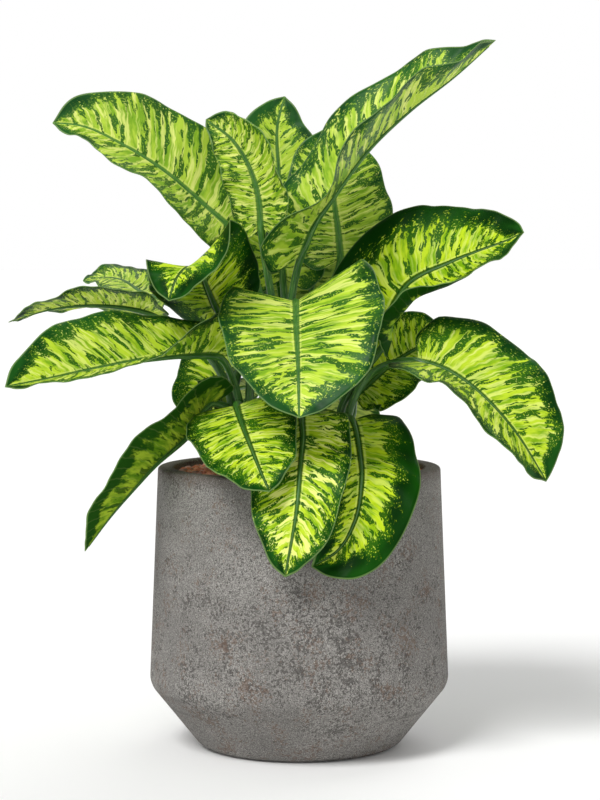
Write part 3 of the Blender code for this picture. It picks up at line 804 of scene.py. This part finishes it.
VEIN_ROOT = (0.0, 0.012, 0.035, 0.085, 0.19, 0.34, 0.52, 0.71, 0.88, 1.0)
MARGIN_ACROSS = (0.05, 0.36, 0.68, 0.90, 1.00, 0.98, 0.86, 0.60, 0.26, 0.0)
MARGIN_ALONG = (-0.01, -0.075, -0.045, 0.085, 0.27, 0.46, 0.66, 0.84, 0.955, 1.0)


def blade_frame(leaf, midline, along):
    """Place, side and upper normal at a distance along the midrib, in blade lengths."""
    inside = np.clip(along, 0.0, 1.0)
    share = midline.base + inside * (1 - midline.base)
    heading = midline.heading(share)
    length = midline.length * (1 - midline.base)
    place = midline.at(share) + heading * ((along - inside) * length)[:, None]
    first, last = direction(*leaf.face), direction(*(leaf.face_tip or leaf.face))
    normal = first * (1 - inside)[:, None] + last * inside[:, None]
    normal = unit(normal - heading * (normal * heading).sum(1, keepdims=True))
    return place, np.cross(heading, normal), normal


def blade_points(leaf, midline, root, v):
    """The upper face on the veins from root, at v from -1 (left margin) to 1 (right margin)."""
    reach, right = np.abs(v), v > 0
    half = np.where(right, leaf.half[1], leaf.half[0]) * CM
    height, count, phase = leaf.wave
    turn = 2 * math.pi * (count * root + phase + np.where(right, 0.3, 0.0))
    swell = height * CM * np.minimum(1, np.minimum(6 * root, 5 * (1 - root))) * reach**2
    across = eased(MARGIN_ACROSS, root, VEIN_ROOT) * half * reach + 0.6 * swell * np.cos(turn)
    margin = eased(MARGIN_ALONG, root, VEIN_ROOT)
    along = root + (margin - root) * reach**1.3
    place, side, normal = blade_frame(leaf, midline, along)
    inside = np.clip(along, 0.0, 1.0)
    fold = np.radians(np.where(right, eased(leaf.right, inside), eased(leaf.left, inside)))
    curl = np.where(right, eased(leaf.right_curl, inside), eased(leaf.left_curl, inside))
    bend = np.radians(np.where(np.abs(curl) < 0.01, 0.01, curl)) / half
    out = (np.sin(fold + bend * across) - np.sin(fold)) / bend
    up = (np.cos(fold) - np.cos(fold + bend * across)) / bend
    turned = (fold + bend * across)[:, None]
    away = side * np.where(right, 1.0, -1.0)[:, None]
    lift = normal * np.cos(turned) - away * np.sin(turned)
    ripple = swell * np.sin(turn)
    return place + away * out[:, None] + normal * up[:, None] + lift * ripple[:, None]


# %% [markdown]
# The mesh of a blade is a flat grid laid on that function. Rows follow side veins. Near the stalk many
# veins fan out into the lobes, so the rows are spaced half by the midrib and half by the margin. That
# spacing is also the number that the finish counts veins by. The margin gets a small frill of its own.

# %% Counting the veins

HALF_WIDTH_TO_LENGTH = 0.42

_root = np.linspace(0, 1, 600)
_across, _along = (eased(margin, _root, VEIN_ROOT) for margin in (MARGIN_ACROSS, MARGIN_ALONG))
_steps = np.hypot(np.diff(_across) * HALF_WIDTH_TO_LENGTH, np.diff(_along))
_edge = np.concatenate(([0], np.cumsum(_steps)))
VEIN_COUNT = 0.5 * _root + 0.5 * _edge / _edge[-1]


def root_of(vein):
    """Where on the midrib a vein starts, from its count from 0 to 1."""
    return np.interp(vein, VEIN_COUNT, _root)


def rib_half_width(root):
    """Half the width of the midrib's band on the upper face, in metres."""
    return 0.0011 + 0.0034 * (1 - root)


def store(obj, name, values, kind="FLOAT"):
    """Keep a number or a vector for each vertex of a mesh."""
    layer = obj.data.attributes.new(name, kind, "POINT")
    field = "value" if kind == "FLOAT" else "vector"
    layer.data.foreach_set(field, np.ascontiguousarray(values, np.float32).ravel())


def mesh_points(obj):
    points = np.zeros(len(obj.data.vertices) * 3, np.float32)
    obj.data.vertices.foreach_get("co", points)
    return points.reshape(-1, 3).astype(float)


def move_points(obj, points):
    obj.data.vertices.foreach_set("co", np.ascontiguousarray(points, np.float32).ravel())
    obj.data.update()


# %% Laying a grid on a blade

BLADE_ROWS, BLADE_COLUMNS = 84, 28
BLADE_THICKNESS = 0.0008
RUFFLE_HEIGHT = 0.0011


def ruffle(root, v, seed):
    """How far the margin's small uneven frill stands up, in metres."""
    side = np.where(v > 0, 1.7, 0.0)
    waves = np.sin(2 * math.pi * (5.3 * root + seed) + side) * 0.6
    waves = waves + np.sin(2 * math.pi * (11.1 * root + 1.7 * seed) + 2 * side) * 0.4
    fade = np.minimum(1, 4 * (1 - root)) * np.minimum(1, 12 * root)
    return RUFFLE_HEIGHT * waves * np.abs(v) ** 4 * fade


def grow_blade(leaf, midline, seed, paint, streaked_below=False):
    """A flat grid laid on the blade, thickened, with the leaf's own coordinates stored on it."""
    clear_selection()
    bpy.ops.mesh.primitive_grid_add(x_subdivisions=BLADE_COLUMNS, y_subdivisions=BLADE_ROWS, size=2)
    blade = bpy.context.object
    flat = mesh_points(blade)
    vein = np.clip((flat[:, 1] + 1) / 2, 0.004, 1.0)
    across = flat[:, 0]
    root = root_of(vein)
    reach = np.abs(across)
    half = np.where(across > 0, leaf.half[1], leaf.half[0]) * CM
    wide = eased(MARGIN_ACROSS, root, VEIN_ROOT) * half
    face = blade_points(leaf, midline, root, across)
    inward = blade_points(leaf, midline, root, across * 0.97)
    forward = blade_points(leaf, midline, np.minimum(root + 0.01, 1.0), across * 0.97)
    lift = np.cross(face - inward, forward - inward) * np.where(across > 0, 1.0, -1.0)[:, None]
    size = np.linalg.norm(lift, axis=1, keepdims=True)
    lift = np.where(size > 1e-12, lift / np.maximum(size, 1e-12), 0.0)
    move_points(blade, face + lift * ruffle(root, across, seed)[:, None])
    store(blade, "vein", vein)
    store(blade, "across", across)
    store(blade, "rib", wide * reach / rib_half_width(root))
    store(blade, "rim", wide * (1 - reach) / MM)
    for name, value in zip(("seed", "shade", "cream", "spread"), (seed, *paint)):
        store(blade, name, np.full(len(flat), value))
    choose(blade)
    bpy.ops.object.mode_set(mode="EDIT")
    bpy.ops.mesh.select_all(action="SELECT")
    bpy.ops.mesh.remove_doubles(threshold=0.00002)
    bpy.ops.object.mode_set(mode="OBJECT")
    above, below = (young_leaf, young_under) if paint[0] < 0.5 else (old_leaf, old_under)
    blade.data.materials.append(above)
    blade.data.materials.append(above if streaked_below else below)
    wall = blade.modifiers.new("thickness", "SOLIDIFY")
    wall.thickness = BLADE_THICKNESS
    wall.offset = -1
    wall.material_offset = 1
    wall.material_offset_rim = 0
    bpy.ops.object.modifier_apply(modifier=wall.name)
    bpy.ops.object.shade_smooth()
    return blade


# %% [markdown]
# The stalk is a cylinder whose long edges are divided into rings, and each ring is set square on the
# midline. Under the blade the same tube goes on as the keel that carries the leaf, getting thinner.

# %% Drawing a cylinder along the midline

STALK_SIDES, STALK_CUTS = 20, 63


def grow_stalk(leaf, midline, paint):
    clear_selection()
    bpy.ops.mesh.primitive_cylinder_add(vertices=STALK_SIDES, radius=1, depth=2)
    stalk = bpy.context.object
    bpy.ops.object.mode_set(mode="EDIT")
    select_where(stalk, "EDGE", lambda middle: abs(middle.z) < 0.5)
    bpy.ops.mesh.subdivide(number_cuts=STALK_CUTS)
    bpy.ops.object.mode_set(mode="OBJECT")
    straight = mesh_points(stalk)
    share = (straight[:, 2] + 1) / 2 * (1 - 0.03 * (1 - midline.base))
    base = midline.base
    root = np.clip((share - base) / (1 - base), 0, 1)
    under = np.clip((share - base * 0.985) / 0.04, 0, 1)
    under = under * under * (3 - 2 * under)
    keel = RIB_TIP_RADIUS + (STALK_RADIUS * 0.8 - RIB_TIP_RADIUS) * (1 - root) ** 1.3
    shaft = STALK_RADIUS + (STALK_FOOT_RADIUS - STALK_RADIUS) * (1 - share / base)
    radius = shaft * (1 - under) + keel * under
    heading = midline.heading(share)
    first, last = direction(*leaf.face), direction(*(leaf.face_tip or leaf.face))
    up = first * (1 - root)[:, None] + last * root[:, None]
    up = unit(up - heading * (up * heading).sum(1, keepdims=True))
    side = np.cross(heading, up)
    centre = midline.at(share) - up * (under * keel * 0.75)[:, None]
    ring = straight[:, :2] / np.linalg.norm(straight[:, :2], axis=1, keepdims=True)
    offset = side * ring[:, :1] + up * ring[:, 1:]
    move_points(stalk, centre + offset * radius[:, None])
    length = share * midline.length
    store(stalk, "stalk_place", np.column_stack((ring, length * 14)), "FLOAT_VECTOR")
    store(stalk, "shade", np.full(len(ring), paint[0]))
    stalk.data.materials.append(stalk_green)
    choose(stalk)
    bpy.ops.object.shade_smooth()
    return stalk


# %% Growing all the leaves

foliage = {}
for number, (name, leaf) in enumerate(LEAVES.items()):
    midline = Midline(leaf)
    paint = PAINT.get(name, USUAL_PAINT)
    blade = grow_blade(leaf, midline, 1.7 + 0.37 * number, paint, name in STREAKED_BELOW)
    stalk = grow_stalk(leaf, midline, paint)
    choose(blade, stalk)
    bpy.ops.object.join()
    blade.name = name.replace("leaf_", "foliage_")
    settle(blade)
    stand_in(blade, "leaf", name)
    foliage[name] = blade
print("leaf faces:", sum(len(o.data.polygons) for o in foliage.values()))

# %% [markdown]
# The planter is cast in one piece: a small round foot, a steep chamfer out to the belly, and a wall
# that leans in a little towards a thick flat rim. One circle makes all of it. It is filled to be the
# foot, then its edge loop is extruded and scaled again and again, up the outside and down the inside,
# and the corners are rounded with bevels of the right size.

# %% Casting the planter

PLANTER_BELLY_RADIUS = 0.1705
PLANTER_BELLY_HEIGHT = 0.072
PLANTER_RIM_RADIUS = 0.1605
PLANTER_FOOT_RADIUS = 0.113
PLANTER_RIM_WIDTH = 0.018
PLANTER_FLOOR = 0.016
RIM_LEDGE_DEPTH = 0.030
ROUND_SIDES = 160


def raise_loop(radius_now, radius_next, height_now, height_next):
    """Extrude the selected loop to a new height and radius."""
    bpy.ops.mesh.extrude_region_move(
        TRANSFORM_OT_translate={"value": (0, 0, height_next - height_now)}
    )
    size = radius_next / radius_now
    bpy.ops.transform.resize(value=(size, size, 1), center_override=(0, 0, height_next))


inner = PLANTER_RIM_RADIUS - PLANTER_RIM_WIDTH
ledge = PLANTER_HEIGHT - RIM_LEDGE_DEPTH
profile = [
    (PLANTER_FOOT_RADIUS, 0.0),
    (PLANTER_BELLY_RADIUS, PLANTER_BELLY_HEIGHT),
    (PLANTER_RIM_RADIUS, PLANTER_HEIGHT),
    (inner, PLANTER_HEIGHT),
    (inner, ledge + 0.003),
    (inner + 0.003, ledge),
    (inner + 0.003, PLANTER_BELLY_HEIGHT),
    (inner - 0.037, PLANTER_FLOOR),
]
clear_selection()
bpy.ops.mesh.primitive_circle_add(vertices=ROUND_SIDES, radius=profile[0][0], fill_type="NGON")
pot = bpy.context.object
pot.name = "stone_planter"
bpy.ops.object.mode_set(mode="EDIT")
bpy.ops.mesh.flip_normals()
bpy.ops.mesh.select_mode(type="EDGE")
bpy.ops.mesh.select_all(action="SELECT")
for here, after in zip(profile, profile[1:]):
    raise_loop(here[0], after[0], here[1], after[1])
    select_where(
        pot, "EDGE", lambda m: abs(m.z - after[1]) < 1e-5 and abs(m.xy.length - after[0]) < 2e-4
    )
bpy.ops.mesh.edge_face_add()
print("planter profile:", len(profile), "loops of", ROUND_SIDES)

# %% Rounding the planter's corners


def round_corner(radius, height, size, steps):
    """Bevel the loop of edges at a radius and height."""
    found = select_where(
        pot, "EDGE", lambda m: abs(m.z - height) < 1e-5 and abs(m.xy.length - radius) < 3e-4
    )
    bpy.ops.mesh.bevel(offset=size, offset_type="OFFSET", segments=steps, affect="EDGES")
    return found


for radius, height, size, steps in (
    (PLANTER_FOOT_RADIUS, 0.0, 0.008, 5),
    (PLANTER_BELLY_RADIUS, PLANTER_BELLY_HEIGHT, 0.008, 6),
    (PLANTER_RIM_RADIUS, PLANTER_HEIGHT, 0.0035, 4),
    (inner, PLANTER_HEIGHT, 0.0025, 4),
    (inner + 0.003, PLANTER_BELLY_HEIGHT, 0.006, 3),
):
    print("rounded", round_corner(radius, height, size, steps), "edges at height", height)
bpy.ops.object.mode_set(mode="OBJECT")
bpy.ops.object.shade_smooth_by_angle(angle=math.radians(25))
pot.data.materials.append(cement)
settle(pot)
stand_in(pot, "planter", "planter")

# %% [markdown]
# The granules fill the pot to just under its rim. Below the top they can't be seen, so the bed itself
# stays as imported, and one lump is modelled and copied many times over its surface. A lump is a cube
# divided once and rounded, which is enough for a piece of clay the size of a pea.

# %% One lump of fired clay

BED_DROP = 0.011
BED_TOP = PLANTER_HEIGHT - BED_DROP
BED_CROWN = 0.006


def bed_height(radius):
    """The granule bed's surface, a little higher in the middle."""
    stops = ((0, BED_CROWN), (inner * 0.6, BED_CROWN * 0.7), (inner, 0.0))
    return BED_TOP + np.interp(radius, [s[0] for s in stops], [s[1] for s in stops])


clear_selection()
bpy.ops.mesh.primitive_cube_add(size=2)
lump = bpy.context.object
bpy.ops.object.mode_set(mode="EDIT")
bpy.ops.mesh.subdivide(number_cuts=1)
bpy.ops.transform.tosphere(value=0.85)
bpy.ops.object.mode_set(mode="OBJECT")
lump_points = mesh_points(lump)
lump_faces = [tuple(face.vertices) for face in lump.data.polygons]
bpy.data.objects.remove(lump)
print("faces of one lump:", len(lump_faces))

# %% [markdown]
# The copies are placed ring by ring like seeds in a sunflower, which covers a disc evenly, and each is
# pushed about, turned, stretched and sized by a seeded random number. They end up as one mesh.

# %% Strewing the lumps

LUMP_COUNT = 1500
LUMP_SIZES = (0.0026, 0.0044)
STEM_CLEARANCE = 0.0165

dice = np.random.default_rng(7)
bed_radius = inner - 0.0050
order = np.arange(LUMP_COUNT) + 0.5
ring_radius = bed_radius * np.sqrt(order / LUMP_COUNT)
angle = order * math.pi * (3 - math.sqrt(5))
place = np.column_stack((ring_radius * np.cos(angle), ring_radius * np.sin(angle)))
place = place + dice.normal(0, 0.0006, place.shape)
stems = np.array([(cane.x, cane.y) for cane in CANES.values()]) * CM
clear = np.linalg.norm(place[:, None] - stems[None], axis=2).min(1) > STEM_CLEARANCE
place = place[clear & (np.linalg.norm(place, axis=1) < bed_radius + 0.0006)]

points, faces, numbers = [], [], []
for x, y in place:
    size = dice.uniform(*LUMP_SIZES) * dice.uniform(0.8, 1.25, 3)
    turn, _ = np.linalg.qr(dice.normal(size=(3, 3)))
    if np.linalg.det(turn) < 0:
        turn[:, 0] *= -1
    rough = lump_points * (1 + dice.uniform(-0.14, 0.14, (len(lump_points), 1)))
    shape = (rough * size) @ turn.T
    height = bed_height(math.hypot(x, y)) + dice.uniform(-0.0006, 0.0016)
    faces += [tuple(len(points) * len(lump_points) + i for i in face) for face in lump_faces]
    points.append(shape + (x, y, height))
    numbers.append(np.full(len(lump_points), dice.uniform(0, 1)))
granules_mesh = bpy.data.meshes.new("loose_granules")
granules_mesh.from_pydata(np.concatenate(points).tolist(), [], faces)
granules = bpy.data.objects.new("loose_granules", granules_mesh)
bpy.context.scene.collection.objects.link(granules)
store(granules, "lump", np.concatenate(numbers))
granules_mesh.materials.append(clay)
choose(granules)
bpy.ops.object.shade_smooth_by_angle(angle=math.radians(50))
stand_in(granules, "clay_granules")
print("lumps:", len(place), "faces:", len(granules_mesh.polygons))

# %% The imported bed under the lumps

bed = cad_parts["clay_granules"]
bed.data.materials.clear()
bed.data.materials.append(clay)
store(bed, "lump", np.full(len(bed.data.vertices), 0.1))

# %% [markdown]
# A cane is a plain cylinder until it is ringed. Cutting it across with bisect gives a loop wherever a
# leaf once grew, and swelling that loop makes the scar. The top widens into the head that the living
# stalks spring from.

# %% Turning the canes

CANE_RADIUS = 0.0125
CANE_HEAD_RADIUS = 0.0165
CANE_SCAR_HEIGHT = 0.0012
CANE_SCAR_SPACING = 0.022
CANE_ROOT_DEPTH = 0.060


def ring_cane(name, cane):
    top = cane.top * CM
    foot = BED_TOP - CANE_ROOT_DEPTH
    clear_selection()
    bpy.ops.mesh.primitive_cylinder_add(
        vertices=28, radius=CANE_RADIUS, depth=top - foot, location=(0, 0, (top + foot) / 2)
    )
    stem = bpy.context.object
    settle(stem)
    scars = []
    scar = top - 0.030
    while scar > foot + CANE_SCAR_SPACING:
        scars.append(scar)
        scar -= CANE_SCAR_SPACING
    cuts = [z + d for z in scars for d in (-0.004, -0.0012, 0.0, 0.0012, 0.004)]
    cuts += [top - 0.018, top - 0.012, top - 0.002]
    bpy.ops.object.mode_set(mode="EDIT")
    for z in cuts:
        bpy.ops.mesh.select_all(action="SELECT")
        bpy.ops.mesh.bisect(plane_co=(0, 0, z), plane_no=(0, 0, 1))
    for z in scars:
        swell = 1 + CANE_SCAR_HEIGHT / CANE_RADIUS
        select_where(stem, "VERT", lambda co: abs(co.z - z) < 0.0005)
        bpy.ops.transform.resize(value=(swell, swell, 1), center_override=(0, 0, z))
        select_where(stem, "VERT", lambda co: 0.0008 < abs(co.z - z) < 0.0016)
        swell = 1 + 0.55 * CANE_SCAR_HEIGHT / CANE_RADIUS
        bpy.ops.transform.resize(value=(swell, swell, 1), center_override=(0, 0, z))
    head = CANE_HEAD_RADIUS / CANE_RADIUS
    select_where(stem, "VERT", lambda co: co.z > top - 0.0125)
    bpy.ops.transform.resize(value=(head, head, 1), center_override=(0, 0, top))
    select_where(stem, "VERT", lambda co: co.z > top - 0.0005)
    bpy.ops.transform.resize(value=(0.9, 0.9, 1), center_override=(0, 0, top))
    bpy.ops.object.mode_set(mode="OBJECT")
    points = mesh_points(stem)
    near = np.min(np.abs(points[:, 2:] - np.array(scars)[None]), axis=1)
    store(stem, "scar", np.clip(1 - near / 0.003, 0, 1))
    move_points(stem, points + (cane.x * CM, cane.y * CM, 0))
    stem.data.materials.append(cane_green)
    choose(stem)
    bpy.ops.object.shade_smooth_by_angle(angle=math.radians(40))
    stem.name = name
    stand_in(stem, "cane", "cane_" + name.split("_")[1])
    return stem


for name, cane in CANES.items():
    stem = ring_cane("stem_" + name, cane)
    print(stem.name, "faces:", len(stem.data.polygons))

# %% [markdown]
# The stage is a wide white floor. The camera stands as high as the upper leaves, looks down a little,
# and is far enough away for a long lens, as for a catalogue picture.

# %% Floor and camera

clear_selection()
bpy.ops.mesh.primitive_plane_add(size=80, location=(0, 0, -0.0005))
floor = bpy.context.object
floor.name = "studio_floor"
paper, _, paper_shader = new_finish("white paper floor")
paper_shader.inputs["Base Color"].default_value = tint("#f7f7f6")
paper_shader.inputs["Roughness"].default_value = 0.9
floor.data.materials.append(paper)

CAMERA_PLACE = (0.0009, -2.7, 0.575)
CAMERA_DIP = 3.86

lens = bpy.data.cameras.new("studio_camera")
lens.lens = 107.19
lens.sensor_width = 36
camera = bpy.data.objects.new("studio_camera", lens)
camera.location = CAMERA_PLACE
camera.rotation_euler = (math.radians(90 - CAMERA_DIP), 0, 0)
bpy.context.scene.collection.objects.link(camera)
bpy.context.scene.camera = camera

# %% [markdown]
# Soft light comes from a bright room whose walls are whiter than its ceiling. A broad key light stands
# high on the front left, and a weaker one behind puts an edge on the leaves.

# %% Studio light

room = bpy.data.worlds.new("bright_room")
room.use_nodes = True
sky = room.node_tree.nodes["Background"]
sky.inputs["Color"].default_value = (1, 1, 1, 1)
air = Wire(room.node_tree)
view_line = air.node("ShaderNodeTexCoord")
climb = air.node("ShaderNodeSeparateXYZ", None, {0: view_line}, out=2)
glow = 1.0 - 0.60 * climb.rise(0.10, 0.60)
room.node_tree.links.new(glow.socket, sky.inputs["Strength"])
bpy.context.scene.world = room
bpy.context.scene.view_settings.view_transform = "Standard"


def soft_sun(name, place, spread, power):
    """A broad even light from the direction of place, the same all over the floor."""
    lamp = bpy.data.lights.new(name, "SUN")
    lamp.angle = math.radians(spread)
    lamp.energy = power
    obj = bpy.data.objects.new(name, lamp)
    obj.location = place
    obj.rotation_mode = "QUATERNION"
    obj.rotation_quaternion = (-Vector(place)).to_track_quat("-Z", "Y")
    bpy.context.scene.collection.objects.link(obj)
    return obj


soft_sun("key_light", (-0.7, -1.1, 1.5), 22, 2.3)
soft_sun("edge_light", (0.6, 1.2, 1.4), 40, 0.6)
